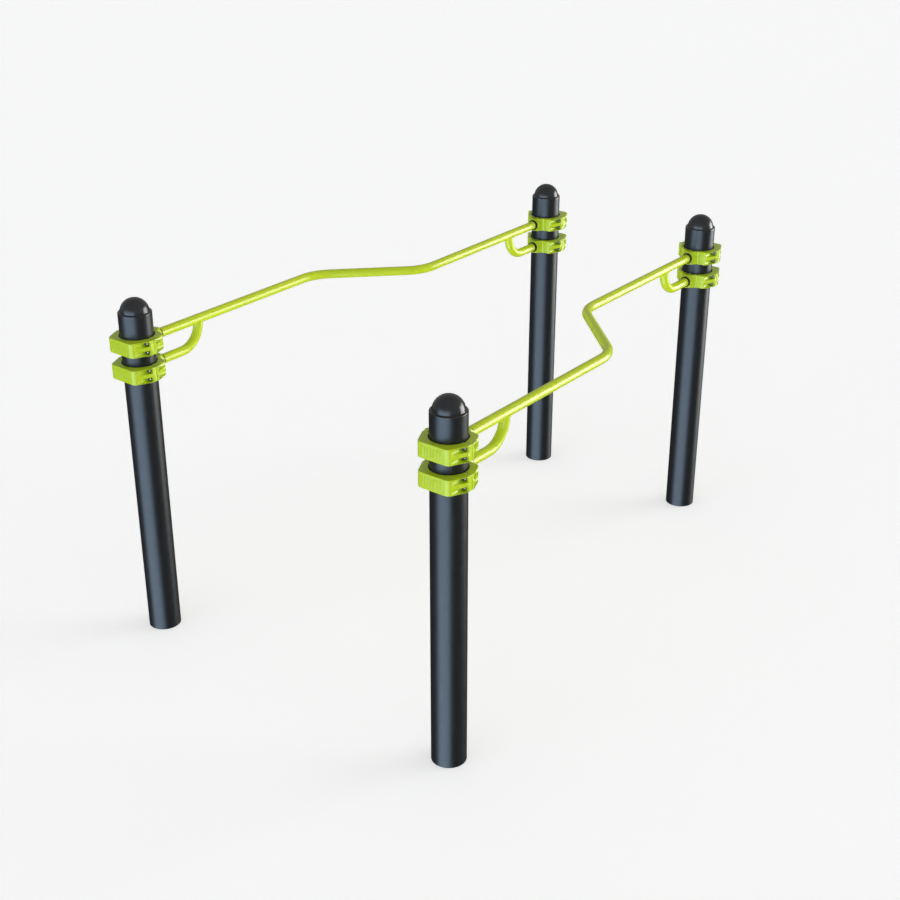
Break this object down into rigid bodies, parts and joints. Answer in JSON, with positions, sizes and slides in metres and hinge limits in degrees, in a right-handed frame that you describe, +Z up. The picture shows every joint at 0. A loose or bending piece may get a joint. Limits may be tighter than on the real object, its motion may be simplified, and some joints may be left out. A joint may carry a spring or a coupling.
{
  "type": "uneven parallel bars",
  "caption": "Outdoor training bars: cranked tube bars on round capped posts, wide apart at one end and close at the other, held by hinged, bolted clamps and curved braces.",
  "frame": {"origin": "on the ground, at the middle of the box around the four posts and their clamps", "axes": "+X from the left bar to the right bar, +Y along the bars from the wide front end to the narrow back end, +Z up"},
  "size_m": [1.492, 2.1624, 1.26],
  "materials": {
    "post_powder_coat": "satin powder coat, blue-black, fine orange peel",
    "cap_plastic": "moulded black plastic, half gloss",
    "clamp_powder_coat": "cast aluminium under gloss lime green powder coat",
    "bar_powder_coat": "gloss lime green powder coat on steel tube",
    "liner_rubber": "matt black rubber",
    "bush_plastic": "matt black plastic",
    "bolt_steel": "stainless steel, dull and darkened",
    "plug_steel": "turned steel, hidden inside the tube"
  },
  "bodies": {
    "root": {"front_left_post": "post_powder_coat", "front_left_cap": "cap_plastic", "front_left_upper_clamp_outer": "clamp_powder_coat", "front_left_upper_clamp_inner": "clamp_powder_coat", "front_left_lower_clamp_outer": "clamp_powder_coat", "front_left_lower_clamp_inner": "clamp_powder_coat", "front_left_clamp_liners": "liner_rubber", "front_left_socket_bushes": "bush_plastic", "front_left_hinge_pins": "bolt_steel", "front_left_clamp_bolts": "bolt_steel", "front_left_clamp_nuts": "bolt_steel", "front_left_tube_plugs": "plug_steel", "front_left_tube_screws": "bolt_steel", "front_left_brace": "bar_powder_coat", "front_right_post": "post_powder_coat", "front_right_cap": "cap_plastic", "front_right_upper_clamp_outer": "clamp_powder_coat", "front_right_upper_clamp_inner": "clamp_powder_coat", "front_right_lower_clamp_outer": "clamp_powder_coat", "front_right_lower_clamp_inner": "clamp_powder_coat", "front_right_clamp_liners": "liner_rubber", "front_right_socket_bushes": "bush_plastic", "front_right_hinge_pins": "bolt_steel", "front_right_clamp_bolts": "bolt_steel", "front_right_clamp_nuts": "bolt_steel", "front_right_tube_plugs": "plug_steel", "front_right_tube_screws": "bolt_steel", "front_right_brace": "bar_powder_coat", "back_left_post": "post_powder_coat", "back_left_cap": "cap_plastic", "back_left_upper_clamp_outer": "clamp_powder_coat", "back_left_upper_clamp_inner": "clamp_powder_coat", "back_left_lower_clamp_outer": "clamp_powder_coat", "back_left_lower_clamp_inner": "clamp_powder_coat", "back_left_clamp_liners": "liner_rubber", "back_left_socket_bushes": "bush_plastic", "back_left_hinge_pins": "bolt_steel", "back_left_clamp_bolts": "bolt_steel", "back_left_clamp_nuts": "bolt_steel", "back_left_tube_plugs": "plug_steel", "back_left_tube_screws": "bolt_steel", "back_left_brace": "bar_powder_coat", "back_right_post": "post_powder_coat", "back_right_cap": "cap_plastic", "back_right_upper_clamp_outer": "clamp_powder_coat", "back_right_upper_clamp_inner": "clamp_powder_coat", "back_right_lower_clamp_outer": "clamp_powder_coat", "back_right_lower_clamp_inner": "clamp_powder_coat", "back_right_clamp_liners": "liner_rubber", "back_right_socket_bushes": "bush_plastic", "back_right_hinge_pins": "bolt_steel", "back_right_clamp_bolts": "bolt_steel", "back_right_clamp_nuts": "bolt_steel", "back_right_tube_plugs": "plug_steel", "back_right_tube_screws": "bolt_steel", "back_right_brace": "bar_powder_coat", "left_bar": "bar_powder_coat", "right_bar": "bar_powder_coat"}
  },
  "joints": []
}
